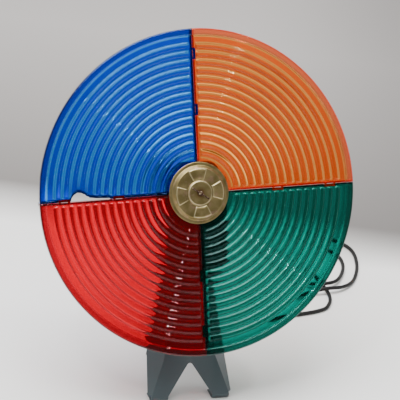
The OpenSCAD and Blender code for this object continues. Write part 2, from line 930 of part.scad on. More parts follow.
module front_cap() {
    low = sheet_front;
    ring_in = hub_r - cap_ring_w;
    slope = 3;
    boss_slope = 1;
    boss_r = boss_d / 2;
    pad_in = boss_r + boss_slope;
    pad_out = ring_in - slope - pad_h;
    rise = cap_top - cap_t;
    color([0.62, 0.55, 0.33])
        on_axis()
            rotate([0, 0, wheel_turn])
                difference() {
                    union() {
                        rotate_extrude()
                            polygon([[shaft_d / 2 + slip_fit, boss_top], [boss_r - boss_slope, boss_top],
                                [boss_r, cap_top], [ring_in - slope, cap_top],
                                [ring_in, low + cap_t], [hub_r - cap_t, low + cap_t],
                                [hub_r, low + cap_t / 2], [hub_r, low], [ring_in - cap_t, low],
                                [ring_in - slope - cap_t, rise], [boss_r - cap_t, rise],
                                [boss_r - boss_slope - cap_t, boss_top - cap_t],
                                [shaft_d / 2 + slip_fit, boss_top - cap_t]]);
                        for (k = [0 : pad_count - 1])
                            rotate([0, 0, 360 * k / pad_count + pad_turn - pad_angle / 2])
                                rotate_extrude(angle = pad_angle)
                                    polygon([[pad_in, cap_top - weld], [pad_out, cap_top - weld],
                                        [pad_out - pad_h, cap_top + pad_h], [pad_in + pad_h, cap_top + pad_h]]);
                    }
                    rotate([0, 0, -wheel_turn])
                        pin_hole(slip_fit);
                }
}

// Corner of the plane that one panel fills, drawn in from its radial edges
module quadrant(margin) {
    inset = seam_gap / 2 + margin;
    translate([inset, inset, -wheel_r])
        cube(2 * wheel_r);
}

// Radii of a panel's two tongues
tongue_radii = [inner_tongue_r, outer_tongue_r];

// Section of a rib: an arc of the given width and height on the sheet's front
module rib_section(r) {
    arc_r = (rib_w * rib_w / 4 + rib_h * rib_h) / (2 * rib_h);
    intersection() {
        translate([r, sheet_front + rib_h - arc_r])
            circle(arc_r);
        translate([r - rib_w, 0])
            square([2 * rib_w, sheet_front + rib_h]);
    }
}

// One quarter panel, between 0 and 90 degrees
module quarter_panel() {
    edge = seam_gap / 2;
    hub_room = 2;
    sleeve_room = 3;
    bead_start = hub_r + hub_room;
    bead_low = -sheet_front - bead_back;
    bead_h = panel_t + bead_back + bead_front;
    inner_r = sleeve_d / 2 + sleeve_room;
    notch_len = tongue_len + 2 * tongue_play;
    difference() {
        union() {
            intersection() {
                rotate_extrude() {
                    translate([inner_r, -sheet_front])
                        square([wheel_r - inner_r, panel_t]);
                    translate([wheel_r - lip_w, -sheet_front - lip_rise])
                        square([lip_w, panel_t + 2 * lip_rise]);
                }
                quadrant(0);
            }
            intersection() {
                rotate_extrude()
                    for (i = [0 : rib_count - 1])
                        rib_section(rib_first + i * rib_pitch);
                quadrant(rib_margin);
            }
            intersection() {
                union() {
                    translate([bead_start, edge, bead_low])
                        cube([wheel_r, bead_w, bead_h]);
                    translate([edge, bead_start, bead_low])
                        cube([bead_w, wheel_r, bead_h]);
                }
                cylinder(r = wheel_r - lip_w / 2, h = wheel_r, center = true);
            }
            for (r = tongue_radii)
                translate([r - tongue_len / 2, -edge - tongue_reach, sheet_front + tongue_play])
                    cube([tongue_len, 2 * edge + tongue_reach + bead_w, tongue_t]);
        }
        for (r = tongue_radii)
            translate([edge - 1, r - notch_len / 2, sheet_front])
                cube([tongue_reach + tongue_play + 1, notch_len, panel_t]);
        for (r = tongue_radii)
            translate([r - tongue_len / 2 + tongue_wall, -edge, -through / 2])
                cube([tongue_len - 2 * tongue_wall, tongue_slot_w, through]);
        rotate([0, 0, 45])
            translate([peg_r, 0, -through / 2])
                cylinder(d = peg_d + 2 * slip_fit, h = through);
    }
}

// Panel in its place on the wheel
module panel(quarter) {
    on_axis()
        rotate([0, 0, wheel_turn + 90 * quarter])
            children();
}

module orange_panel() {
    color([0.90, 0.45, 0.10, 0.8])
        panel(0)
            quarter_panel();
}

module blue_panel() {
    color([0.05, 0.30, 0.75, 0.8])
        panel(1)
            difference() {
                quarter_panel();
                slab(-through, through)
                    polygon([[0, chip_r + chip_out], [chip_depth * 0.5, chip_r + chip_out - 0.5],
                        [chip_depth, chip_r], [chip_depth * 0.8, chip_r - chip_out],
                        [chip_depth * 0.35, chip_r - 2 * chip_out], [chip_depth * 0.22, chip_r - chip_tail],
                        [0, chip_r - chip_tail - 3]]);
            }
}

module red_panel() {
    color([0.85, 0.12, 0.15, 0.8])
        panel(2)
            quarter_panel();
}

module green_panel() {
    color([0.05, 0.50, 0.40, 0.8])
        panel(3)
            quarter_panel();
}

// Straight wire between two points
module wire(from, to, d) {
    span = to - from;
    translate(from)
        rotate([0, acos(span.z / norm(span)), atan2(span.y, span.x)])
            cylinder(d = d, h = norm(span));
}

module lead_wires() {
    wire_d = 1.6;
    wire_gap = 0.1;
    start = coil_mid + [bobbin_len / 2 + wire_d / 2 + wire_gap, -yoke_h / 2 - bobbin_wall - winding_h / 2, 0];
    goal = [exit_at.x, exit_at.y, -plate_back + relief_flange_t + wire_d / 2];
    color([0.12, 0.11, 0.11])
        on_axis()
            for (side = [-1, 1])
                translate([0, side * wire_d, 0])
                    wire(start, goal, wire_d);
}

module strain_relief() {
    tip_d = cord_d + 2;
    color([0.10, 0.10, 0.10])
        on_axis()
            translate([exit_at.x, exit_at.y, 0]) {
                translate([0, 0, -plate_back])
                    cylinder(d = relief_flange_d, h = relief_flange_t);
                translate([0, 0, plate_rear - weld])
                    cylinder(d = relief_d, h = sheet_t + 2 * weld);
                translate([0, 0, plate_rear - relief_flange_t])
                    cylinder(d = relief_flange_d, h = relief_flange_t);
                translate([0, 0, plate_rear - relief_len])
                    cylinder(d1 = tip_d, d2 = relief_d, h = relief_len);
            }
}

// Smooth point between b and c of four route points
function between(a, b, c, d, u) = 0.5 * (2 * b + (c - a) * u + (2 * a - 5 * b + 4 * c - d) * u * u
    + (3 * b - a - 3 * c + d) * u * u * u);

// Route with extra points on the smooth curve through it
function smoothed(p, parts) = let (n = len(p) - 1) concat([for (i = [0 : n - 1], k = [0 : parts - 1])
    between(p[max(i - 1, 0)], p[i], p[i + 1], p[min(i + 2, n)], k / parts)], [p[n]]);

// The floor carries the cord, so no point lies lower than half its thickness
lead_route = [for (p = smoothed(lead_points, 2)) [p.x, p.y, max(p.z, lay)]];

function unit(v) = v / norm(v);

// Direction of the route at each point
function headings(p) = let (n = len(p) - 1) [for (i = [0 : n]) unit(p[min(i + 1, n)] - p[max(i - 1, 0)])];

// Side vectors carried along the route without twisting
function carried(t, i, first) = i == 0 ? [first] :
    let (before = carried(t, i - 1, first), v = before[i - 1] - t[i] * (before[i - 1] * t[i]))
    concat(before, [unit(v)]);

// Round tube swept along a route, closed at both ends
module tube(p, d, sides) {
    t = headings(p);
    first = unit(cross(t[0], [0.2, 0.3, 1]));
    s = carried(t, len(p) - 1, first);
    rings = len(p);
    points = [for (i = [0 : rings - 1], k = [0 : sides - 1]) let (a = 360 * k / sides)
        p[i] + d / 2 * (cos(a) * s[i] + sin(a) * cross(t[i], s[i]))];
    function at(i, k) = i * sides + k % sides;
    walls = [for (i = [0 : rings - 2], k = [0 : sides - 1])
        each [[at(i, k), at(i + 1, k), at(i + 1, k + 1)], [at(i, k), at(i + 1, k + 1), at(i, k + 1)]]];
    start_cap = [for (k = [1 : sides - 2]) [at(0, 0), at(0, k), at(0, k + 1)]];
    end_cap = [for (k = [1 : sides - 2]) [at(rings - 1, 0), at(rings - 1, k + 1), at(rings - 1, k)]];
    polyhedron(points, concat(walls, start_cap, end_cap));
}

module cord_lead() {
    color([0.09, 0.08, 0.08])
        tube(lead_route, cord_d, 8);
}

// Point of the coil after a number of turns: in on the lower layer, up in half a turn, out on the upper
coil_mid_turn = coil_turns / 2;
function coil_radius(n) = coil_r - turn_step * min(n, coil_turns - n);
function climb(n) = max(0, min(1, 2 * (n - coil_mid_turn) + 0.5));
function coil_height(n) = coil_low + layer_rise * (1 - cos(180 * climb(n))) / 2;
function coil_flare(n) = let (left = coil_turns - n) left < 0.25 ? tail_out * pow(1 - left / 0.25, 2) : 0;
function coil_point(n) = let (a = -90 - 360 * n, r = coil_radius(n) + coil_flare(n))
    [coil_at.x + r * cos(a), coil_at.y + r * sin(a), coil_height(n)];
coil_rings = coil_turns * rings_per_turn;
coil_body = [for (i = [0 : coil_rings]) coil_point(i / rings_per_turn)];
coil_aim = unit([1, 0.3, 0]);
coil_end = coil_body[len(coil_body) - 1];
tail_len = 18;
plug_at = coil_end + tail_len * coil_aim;
coil_points = concat([coil_start], coil_body,
    [for (k = [0.4, 1]) coil_end + k * tail_len * coil_aim]);

// Least clear distance of the coil from itself, over points more than half a turn apart
coil_gap = min([for (i = [0 : len(coil_points) - 1], j = [i + rings_per_turn / 2 : 1 : len(coil_points) - 1])
    norm(coil_points[i] - coil_points[j])]) - cord_d;
echo(coil_gap = coil_gap);

// Whole length of the cord, from the strain relief to the plug
function length_of(p) = let (n = len(p) - 1) [for (i = [1 : n]) norm(p[i] - p[i - 1])] * [for (i = [1 : n]) 1];
echo(cord_length = length_of(lead_route) + length_of(coil_points));

module cord_coil() {
    color([0.09, 0.08, 0.08])
        tube(coil_points, cord_d, 6);
}

module cord_tie() {
    inside = [coil_radius(coil_mid_turn) - lay - 0.6, coil_r + lay + 0.6];
    top = coil_low + layer_rise + lay + 0.6;
    tie_w = 4;
    color([0.80, 0.80, 0.76])
        translate([coil_at.x, coil_at.y - tie_w / 2, 0])
            rotate([90, 0, 180])
                linear_extrude(tie_w)
                    difference() {
                        rounded([inside[0] - tie_t, 0], [inside[1] + tie_t, top + tie_t], 2);
                        rounded([inside[0], tie_t], [inside[1], top], 1.2);
                    }
}

// Draws children with X along the plug, from where the cord enters it
module at_plug() {
    translate(plug_at)
        rotate([0, 0, atan2(coil_aim.y, coil_aim.x)])
            children();
}

module plug_body() {
    neck_len = 10;
    neck_plug_w = cord_d + 5;
    half_t = min(plug_t / 2, plug_at.z - 0.05);
    color([0.10, 0.10, 0.10])
        at_plug()
            translate([0, 0, -half_t])
                linear_extrude(2 * half_t)
                    difference() {
                        polygon([[0, -neck_plug_w / 2], [neck_len, -plug_w / 2], [plug_len, -plug_w / 2],
                            [plug_len, plug_w / 2], [neck_len, plug_w / 2], [0, neck_plug_w / 2]]);
                        for (side = [-1, 1])
                            translate([plug_len * 0.62, side * (plug_w / 2 + 5.4)])
                                circle(d = 14);
                    }
}

module plug_blades() {
    blade_w = 6.3;
    blade_t = 1.5;
    color([0.75, 0.66, 0.42])
        at_plug()
            for (side = [-1, 1])
                translate([plug_len, side * blade_gap / 2 - blade_t / 2, -blade_w / 2])
                    cube([blade_len, blade_t, blade_w]);
}

stand_plate();
rear_leg();
leg_rivets();
motor_cover();
cover_screws();
cover_nuts();
front_gear_plate();
rear_gear_plate();
gear_pillars();
frame_screws();
motor_standoffs();
motor_screws();
front_bush();
rear_bush();
stator_core();
bobbin();
winding();
bearing_strap();
stator_screws();
rotor_core();
rotor_shaft();
first_gear();
second_gear();
output_gear();
output_shaft();
rear_disc();
hub_sleeve();
front_cap();
drive_pin();
orange_panel();
blue_panel();
red_panel();
green_panel();
lead_wires();
strain_relief();
cord_lead();
cord_coil();
cord_tie();
plug_body();
plug_blades();
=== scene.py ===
import json
import math

import bmesh
import bpy
from mathutils import Matrix, Vector


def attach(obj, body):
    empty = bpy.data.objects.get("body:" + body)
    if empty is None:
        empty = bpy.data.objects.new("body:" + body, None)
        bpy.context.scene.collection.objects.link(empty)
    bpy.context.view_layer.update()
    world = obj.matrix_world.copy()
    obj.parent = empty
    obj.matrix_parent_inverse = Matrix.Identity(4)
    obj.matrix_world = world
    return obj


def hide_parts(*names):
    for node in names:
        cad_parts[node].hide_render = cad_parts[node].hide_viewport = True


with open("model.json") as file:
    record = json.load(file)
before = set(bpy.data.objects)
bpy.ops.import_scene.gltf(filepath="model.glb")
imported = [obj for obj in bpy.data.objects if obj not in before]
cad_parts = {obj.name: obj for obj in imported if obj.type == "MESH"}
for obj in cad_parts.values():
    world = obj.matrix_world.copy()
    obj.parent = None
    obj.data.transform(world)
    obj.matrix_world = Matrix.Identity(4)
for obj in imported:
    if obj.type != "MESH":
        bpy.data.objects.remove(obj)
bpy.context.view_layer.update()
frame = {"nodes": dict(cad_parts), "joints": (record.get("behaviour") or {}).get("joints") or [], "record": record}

# The wheel turns on a leaning shaft. Its own frame has X to the right, Y up the stand plate and
# Z out of the front, in millimetres from the hub; on_wheel brings that to metres on the table.
mm = 0.001
spin = next(joint for joint in frame["joints"] if joint["name"] == "wheel_spin")
hub = Vector(spin["pos_m"])
front = Vector(spin["axis"]).normalized()
right = Vector((1, 0, 0))
up = front.cross(right)
tilt = Matrix((right, up, front)).transposed().to_4x4()
on_wheel = Matrix.Translation(hub) @ tilt @ Matrix.Scale(mm, 4)

# The camera stands a little to the left and looks down on the wheel, slightly rolled, with a long
# lens, so that the hub falls on its place in the picture.
azimuth, elevation, roll = (math.radians(angle) for angle in (19.96, 28.0, 7.57))
distance = 3.5
focal = 2835
picture = 400
sensor = 36
far_clip = 50
hub_pixel = (198.6, 192.8)
ahead = Vector((math.sin(azimuth) * math.cos(elevation), math.cos(azimuth) * math.cos(elevation),
                -math.sin(elevation)))
level = Vector((math.cos(azimuth), -math.sin(azimuth), 0))
above = level.cross(ahead)
cam_right = level * math.cos(roll) + above * math.sin(roll)
cam_up = above * math.cos(roll) - level * math.sin(roll)
off_x = (hub_pixel[0] - picture / 2) / focal
off_y = (hub_pixel[1] - picture / 2) / focal
lens = bpy.data.cameras.new("camera")
lens.sensor_width = sensor
lens.lens = sensor * focal / picture
lens.clip_end = far_clip
camera = bpy.data.objects.new("camera", lens)
bpy.context.collection.objects.link(camera)
camera.matrix_world = (
    Matrix.Translation(hub - (ahead + cam_right * off_x - cam_up * off_y) * distance)
    @ Matrix((cam_right, cam_up, -ahead)).transposed().to_4x4())
bpy.context.scene.camera = camera

# The cord is two-core vinyl flex, 5 mm thick. It comes out of the strain relief, drops behind the
# plate, lies in loose loops at the right, and its spare length is wound in a coil with the plug.
cord_d = 5
relief_x, relief_y, relief_tip = 31.5, -80, -72.2
straight_out = (0, 7, 14)
flat, ramp, over, coil_low = 2.5, 5.5, 8.1, 3.5
lead_way = [
    (32, 55, 145), (33, 64, 130), (37, 70, 102), (44, 74, 64), (58, 79, 28), (84, 87, 6),
    (118, 97, flat), (174, 112, flat), (236, 124, flat), (256, 139, flat), (265, 166, flat),
    (262, 210, flat), (256, 250, flat), (272, 283, flat), (297, 285, flat), (312, 267, flat),
    (309, 234, flat), (288, 197, ramp), (264, 184, over), (240, 192, ramp), (219, 216, flat),
    (216, 256, flat), (236, 296, flat), (274, 320, flat), (313, 315, flat), (336, 284, flat),
    (332, 242, flat), (313, 200, flat), (290, 178, ramp), (264, 171, over), (238, 167, ramp),
    (180, 148, flat), (124, 117, flat), (90, 101, flat), (63, 97, coil_low)]
lead_parts = 6
coil_at = Vector((34, 130, 0))
coil_start = Vector((39, 97, coil_low))
coil_run_in = Vector((12, 0, 0))
coil_from, coil_r, coil_turns, coil_steps = -90, 33, 2.5, 120
turn_step, layer_rise, climb_turns = 5.9, 5.6, 0.5
coil_aim = Vector((1, 0.3, 0)).normalized()
tail_turns, tail_out, tail_len, tail_mid = 0.25, 9, 18, 0.4

cord_exit = on_wheel @ Vector((relief_x, relief_y, relief_tip))
lead_points = [cord_exit / mm - front * step for step in straight_out]
lead_points += [Vector(point) for point in lead_way]
lead_points += [coil_start + coil_run_in, coil_start]


def between(a, b, c, d, u):
    """A point on the smooth curve through b and c, a share u of the way along."""
    return 0.5 * (2 * b + (c - a) * u + (2 * a - 5 * b + 4 * c - d) * u ** 2
                  + (3 * b - a - 3 * c + d) * u ** 3)


def smoothed(points, parts):
    last = len(points) - 1
    return [between(points[max(i - 1, 0)], points[i], points[i + 1], points[min(i + 2, last)], k / parts)
            for i in range(last) for k in range(parts)]


def coil_point(turn):
    """A point of the coil: it winds inwards, climbs to the upper layer and winds out again."""
    left = coil_turns - turn
    flare = tail_out * (1 - left / tail_turns) ** 2 if left < tail_turns else 0
    reach = coil_r - turn_step * min(turn, left) + flare
    angle = math.radians(coil_from - 360 * turn)
    climb = max(0, min(1, (turn - coil_turns / 2) / climb_turns + 0.5))
    height = coil_low + layer_rise * (1 - math.cos(math.pi * climb)) / 2
    return coil_at + Vector((reach * math.cos(angle), reach * math.sin(angle), height))


coil_route = [coil_point(coil_turns * k / coil_steps) for k in range(coil_steps + 1)]
plug_at = coil_route[-1] + coil_aim * tail_len
cord_route = [Vector((p.x, p.y, max(p.z, flat))) for p in smoothed(lead_points, lead_parts)]
cord_route += [coil_start] + coil_route + [coil_route[-1] + coil_aim * tail_len * tail_mid, plug_at]


class Wire:
    """An output socket of a finish; sums and products of it add Math nodes to its tree."""

    def __init__(self, tree, socket=None):
        self.tree = tree
        self.socket = socket

    def node(self, kind, settings, sockets, out=0):
        """Adds a node: its settings first, then the values or links of its sockets."""
        made = self.tree.nodes.new("ShaderNode" + kind)
        for name, value in settings.items():
            if name == "stops":
                stops = made.color_ramp.elements
                while len(stops) < len(value):
                    stops.new(1)
                for stop, (place, shade) in zip(stops, value):
                    stop.position = place
                    stop.color = shade
            else:
                setattr(made, name, value)
        for name, value in sockets.items():
            self.feed(made.inputs[name], value)
        return Wire(self.tree, made.outputs[out])

    def feed(self, socket, value):
        if isinstance(value, Wire):
            self.tree.links.new(value.socket, socket)
        else:
            socket.default_value = value

    def math(self, operation, first, second):
        return self.node("Math", {"operation": operation}, {0: first, 1: second})

    def __add__(self, other):
        return self.math("ADD", self, other)

    def __sub__(self, other):
        return self.math("SUBTRACT", self, other)

    def __rsub__(self, other):
        return self.math("SUBTRACT", other, self)

    def __mul__(self, other):
        return self.math("MULTIPLY", self, other)

    __radd__ = __add__
    __rmul__ = __mul__

    def clamped(self, low, high):
        """Runs smoothly from 0 at low to 1 at high and stays there outside them."""
        return self.node("MapRange", {"interpolation_type": "SMOOTHSTEP"},
                         {"Value": self, "From Min": low, "From Max": high})

    def place(self):
        return self.node("TexCoord", {}, {}, out="Object")

    def along(self, place, direction):
        """How far a place lies along a direction."""
        return self.node("VectorMath", {"operation": "DOT_PRODUCT"}, {0: place, 1: direction}, out="Value")

    def grain(self, size, detail, stretch=(1, 1, 1)):
        """Noise whose patches are about the given size in millimetres."""
        at = self.node("Mapping", {}, {"Vector": self.place(), "Scale": stretch})
        return self.node("TexNoise", {}, {"Vector": at, "Scale": 1 / (size * mm), "Detail": detail,
                                          "Roughness": 0.55})

    def blend(self, share, first, second):
        return self.node("Mix", {"data_type": "RGBA"}, {"Factor": share, 6: first, 7: second}, out=2)

    def mark(self, name):
        return self.node("Attribute", {"attribute_name": name}, {}, out="Fac")


def finish(name, constants):
    """A new finish: its material, its shader, and a wire to hang nodes on."""
    made = bpy.data.materials.new(name)
    made.use_nodes = True
    shader = made.node_tree.nodes["Principled BSDF"]
    for socket, value in constants.items():
        shader.inputs[socket].default_value = value
    return made, shader, Wire(made.node_tree)


def dress(shader, wire, colour, rough, bump=None, depth=0.0, strength=1.0):
    """Feeds a shader its colour, roughness and, where given, a bump of a depth in millimetres."""
    wire.feed(shader.inputs["Base Color"], colour)
    wire.feed(shader.inputs["Roughness"], rough)
    if bump is not None:
        wire.feed(shader.inputs["Normal"],
                  wire.node("Bump", {}, {"Height": bump, "Distance": depth * mm, "Strength": strength}))


def lay_piece(obj, body, slot, *stands_for):
    """Lets a piece ride on its body and hides the solids that it stands for; its slot is not used."""
    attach(obj, body)
    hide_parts(*stands_for)
    return obj


cord_vinyl, shader, wire = finish("cord_vinyl", {"Specular IOR Level": 0.2})
black_vinyl, scuffed_vinyl = (0.007, 0.0066, 0.0068, 1), (0.020, 0.019, 0.019, 1)
scuffs = wire.grain(9, 4)
dress(shader, wire, wire.blend(scuffs, black_vinyl, scuffed_vinyl), 0.30 + 0.22 * scuffs,
      wire.grain(1.2, 2), 0.05)

cord_curve = bpy.data.curves.new("cord", "CURVE")
cord_curve.dimensions = "3D"
cord_curve.bevel_depth = cord_d / 2 * mm
cord_curve.bevel_resolution = 4
cord_curve.use_fill_caps = True
spline = cord_curve.splines.new("POLY")
spline.points.add(len(cord_route) - 1)
for point, place in zip(spline.points, cord_route):
    point.co = (*(place * mm), 1)
cord_curve.materials.append(cord_vinyl)
cord = bpy.data.objects.new("cord", cord_curve)
bpy.context.collection.objects.link(cord)
lay_piece(cord, "stand", "cord_vinyl", "cord_lead", "cord_coil")

# The plug is moulded on the cord in soft vinyl, with finger grips, and its two flat blades are
# plated brass. A paper-covered wire tie holds the coil together.
same_point = 0.004
flat_angle, corner_angle = 0.6, 30


def softened(node, width, segments=2):
    """Copy of a solid whose corners are eased, as worn tools and paint leave them."""
    bm = bmesh.new()
    bm.from_mesh(frame["nodes"][node].data)
    bmesh.ops.remove_doubles(bm, verts=bm.verts, dist=same_point * mm)
    bmesh.ops.dissolve_limit(bm, angle_limit=math.radians(flat_angle), verts=bm.verts, edges=bm.edges)
    worn = bm.faces.layers.float.new("worn")
    corners = [edge for edge in bm.edges
               if edge.is_manifold and edge.calc_face_angle() > math.radians(corner_angle)]
    eased = bmesh.ops.bevel(bm, geom=corners, offset=width * mm, affect="EDGES", segments=segments,
                            profile=0.5, material=-1, clamp_overlap=True)
    for face in eased["faces"]:
        face[worn] = 1
    return bm


def piece(bm, name, material, body, slot, *stands_for, crease=38):
    """Makes an object of a mesh, smooth but for its creases, and lets it ride on its body."""
    mesh = bpy.data.meshes.new(name)
    bm.to_mesh(mesh)
    bm.free()
    mesh.materials.append(material)
    mesh.shade_smooth()
    mesh.set_sharp_from_angle(angle=math.radians(crease))
    obj = bpy.data.objects.new(name, mesh)
    bpy.context.collection.objects.link(obj)
    return lay_piece(obj, body, slot, *stands_for)


plug = piece(softened("plug_body", 1.6, 4), "plug", cord_vinyl, "stand", "cord_vinyl", "plug_body")

blade_brass, shader, wire = finish("blade_brass", {"Metallic": 1.0})
dark_brass, rubbed_brass = (0.42, 0.32, 0.13, 1), (0.66, 0.55, 0.30, 1)
rubs = wire.grain(3, 4, (1, 6, 1))
dress(shader, wire, wire.blend(rubs, dark_brass, rubbed_brass), 0.24 + 0.2 * rubs)
blades = piece(softened("plug_blades", 0.3), "plug_blade_pair", blade_brass, "stand", "blade_brass",
               "plug_blades")

tie_paper, shader, wire = finish("tie_paper", {})
grey_paper, white_paper = (0.55, 0.54, 0.49, 1), (0.74, 0.73, 0.68, 1)
fibres = wire.grain(1.5, 5, (1, 1, 3))
dress(shader, wire, wire.blend(fibres, grey_paper, white_paper), 0.85, fibres, 0.08)
tie = piece(softened("cord_tie", 0.25), "wire_tie", tie_paper, "stand", "tie_paper", "cord_tie")

# The stand is one sheet of steel, 1.2 mm thick, cut with two legs, folded back along its sides and
# dip-painted grey-green, with the paint scraped off some corners; the rear leg is a second strip,
# riveted on and painted with it.
stand_paint, shader, wire = finish("stand_paint", {"Specular IOR Level": 0.3})
dark_paint, light_paint, scraped_steel = (
    (0.052, 0.072, 0.081, 1), (0.064, 0.087, 0.095, 1), (0.22, 0.23, 0.23, 1))
clouds = wire.grain(60, 3)
specks = wire.grain(0.9, 2)
scraped = (wire.mark("worn") * wire.grain(7, 5)).clamped(0.56, 0.66)
paint = wire.blend(clouds, dark_paint, light_paint)
dress(shader, wire, wire.blend(scraped, paint, scraped_steel), 0.34 + 0.12 * clouds, specks, 0.035, 0.6)
piece(softened("stand_plate", 0.3), "stand_sheet", stand_paint, "stand", "stand_paint", "stand_plate")
piece(softened("rear_leg", 0.3), "rear_strut", stand_paint, "stand", "stand_paint", "rear_leg")

rivet_steel, shader, wire = finish("rivet_steel", {"Metallic": 1.0})
dark_rivet, light_rivet = (0.16, 0.17, 0.17, 1), (0.30, 0.31, 0.31, 1)
dull = wire.grain(2, 4)
dress(shader, wire, wire.blend(dull, dark_rivet, light_rivet), 0.38 + 0.2 * dull)
piece(softened("leg_rivets", 0.25), "strut_rivets", rivet_steel, "stand", "rivet_steel", "leg_rivets")

# The motor and its gears hang on the plate under a pressed steel cover. Nothing of them shows with
# the cover on, so the solids stay and only take their metals and plastics. A metal has a dark and a
# light tone, a roughness, and the way that its turning or winding marks run.
metals = {
    "plate_steel": ((0.38, 0.37, 0.33, 1), (0.52, 0.51, 0.47, 1), 0.30, (1, 12, 1)),
    "brass": ((0.46, 0.35, 0.13, 1), (0.62, 0.50, 0.22, 1), 0.24, (1, 1, 1)),
    "bronze": ((0.26, 0.14, 0.05, 1), (0.40, 0.24, 0.10, 1), 0.42, (1, 1, 1)),
    "stack_iron": ((0.055, 0.053, 0.055, 1), (0.11, 0.105, 0.105, 1), 0.48, (1, 1, 20)),
    "winding_wire": ((0.20, 0.06, 0.02, 1), (0.34, 0.13, 0.05, 1), 0.40, (20, 1, 1)),
    "rotor_metal": ((0.34, 0.34, 0.34, 1), (0.48, 0.48, 0.48, 1), 0.28, (1, 1, 16)),
    "shaft_steel": ((0.36, 0.35, 0.34, 1), (0.50, 0.49, 0.48, 1), 0.22, (1, 1, 1)),
    "zinc": ((0.40, 0.40, 0.38, 1), (0.56, 0.56, 0.53, 1), 0.26, (1, 1, 1)),
}
finishes = {}
for name, (dark, light, roughness, stretch) in metals.items():
    finishes[name], shader, wire = finish(name, {"Metallic": 1.0})
    turned = wire.grain(4, 4, stretch)
    dress(shader, wire, wire.blend(turned, dark, light), roughness + 0.18 * turned)

plastics = {
    "bobbin_plastic": ((0.62, 0.56, 0.40, 1), (0.74, 0.68, 0.52, 1)),
    "wire_cover": ((0.012, 0.011, 0.011, 1), (0.022, 0.020, 0.020, 1)),
}
for name, (dark, light) in plastics.items():
    finishes[name], shader, wire = finish(name, {})
    flow = wire.grain(12, 3)
    dress(shader, wire, wire.blend(flow, dark, light), 0.42 + 0.15 * flow)

slot_of = {part["node"]: part["material_slot"] for part in frame["record"]["subparts"]}
for node, slot in slot_of.items():
    if slot in finishes:
        mesh = frame["nodes"][node].data
        mesh.materials.clear()
        mesh.materials.append(finishes[slot])

# The motor cover is a drawn box of the same painted steel, with vents and an eye for the shaft,
# held by two zinc-plated screws; its nuts sit behind the plate.
piece(softened("motor_cover", 0.5, 3), "motor_case", stand_paint, "stand", "stand_paint", "motor_cover")
piece(softened("cover_screws", 0.2), "case_screws", finishes["zinc"], "stand", "zinc", "cover_screws")
piece(softened("cover_nuts", 0.2), "case_nuts", finishes["zinc"], "stand", "zinc", "cover_nuts")

# The strain relief is a soft vinyl cone snapped in the plate, with rings that let it bend. A catch
# behind the plate and a flange before it, with a neck between them, hold it in its hole.
relief_steps, relief_crease = 40, 50
tip_end, face_end = relief_tip + 0.1, -43.8
ring_count, ring_from, ring_pitch, ring_r, ring_widens, ring_groove = 5, 2.2, 3.8, 3.55, 0.17, 0.7
neck_r, flange_r, eased_r = 4.5, 6.5, 6.2
same_vert = 0.002
order_y, order_z = 0.6180339887, 0.3771236166


def strung(bm, points):
    """A row of vertices with edges between them, ready to be spun."""
    row = [bm.verts.new(point) for point in points]
    return row + [bm.edges.new(pair) for pair in zip(row, row[1:])]


def place_key(place):
    """A number to sort places by, in double precision so that hardly any two of them tie."""
    return place.x + order_y * place.y + order_z * place.z


def in_order(bm):
    """Sorts a mesh by place, because spin and extrude leave it in another order on each run."""
    bm.verts.sort(key=lambda vert: place_key(vert.co))
    bm.edges.sort(key=lambda edge: place_key(edge.verts[0].co + edge.verts[1].co))
    bm.faces.sort(key=lambda face: place_key(face.calc_center_median()))


def turned_piece(outline, steps):
    """Spins an outline of (radius, height) about Z, in millimetres, and closes its seam and poles."""
    bm = bmesh.new()
    bmesh.ops.spin(bm, geom=strung(bm, [(radius, 0, height) for radius, height in outline]),
                   cent=(0, 0, 0), axis=(0, 0, 1), angle=math.tau, steps=steps, use_merge=True)
    bmesh.ops.remove_doubles(bm, verts=bm.verts, dist=same_vert)
    in_order(bm)
    bmesh.ops.recalc_face_normals(bm, faces=bm.faces)
    return bm


relief_outline = [(0, tip_end), (3.4, tip_end), (3.5, relief_tip + 0.4)]
for ring in range(ring_count):
    low = relief_tip + ring_from + ring_pitch * ring
    wide = ring_r + ring_widens * ring
    narrow = wide - ring_groove
    relief_outline += [(wide, low), (narrow, low + 0.3), (narrow, low + 0.9), (wide + 0.05, low + 1.3)]
relief_outline += [
    (neck_r, -48.6), (neck_r, -47.5), (eased_r, -47.4), (flange_r, -47.1), (flange_r, -46.5),
    (eased_r, -46.25), (neck_r, -46.2), (neck_r, -45), (6.3, -44.95), (flange_r, -44.7),
    (flange_r, -44.0), (eased_r, face_end), (0, face_end)]
bm = turned_piece(relief_outline, relief_steps)
bmesh.ops.transform(bm, matrix=on_wheel @ Matrix.Translation((relief_x, relief_y, 0)), verts=bm.verts)
piece(bm, "cord_relief", cord_vinyl, "stand", "cord_vinyl", "strain_relief", crease=relief_crease)

# Each colour is one quarter of the wheel, moulded in clear tinted styrene: a 2 mm sheet with
# fourteen rounded ribs, a lip round the rim and a bead along both straight edges. Tongues on the
# first edge reach into notches of the next quarter. The blue one is chipped and melted at its edge.
wheel_r, sheet_r, sheet_z, seam_edge, wheel_turn = 203, 12, 1.0, 0.3, 2
rib_first, rib_pitch, rib_count, rib_arc, rib_half = 50.5, 10.1, 14, 5.0, 4.0
rib_drop = math.sqrt(rib_arc ** 2 - rib_half ** 2)
rib_clear, rib_end_slope = 5.6, 2.2
lip_foot, lip_full, lip_z, lip_middle, lip_half, lip_crown = 194.2, 195.4, 3.2, 199, 4, 0.5
rim_round, rim_round_w = 0.9, 1.2
bead_w, bead_from, bead_front, bead_back, lap = 2.2, 40.5, 1.8, 7.0, 0.4
bead_flank, bead_end = (bead_w - 0.5, bead_w + 0.2), (bead_from - 1, bead_from)
bead_round, bead_round_w = 0.35, 0.6
tongue_radii = (103, 172)
tongue_x, tongue_y = (-7, -4.5, 4.5, 7), (-3.5, -0.5, 1.5, 2.6)
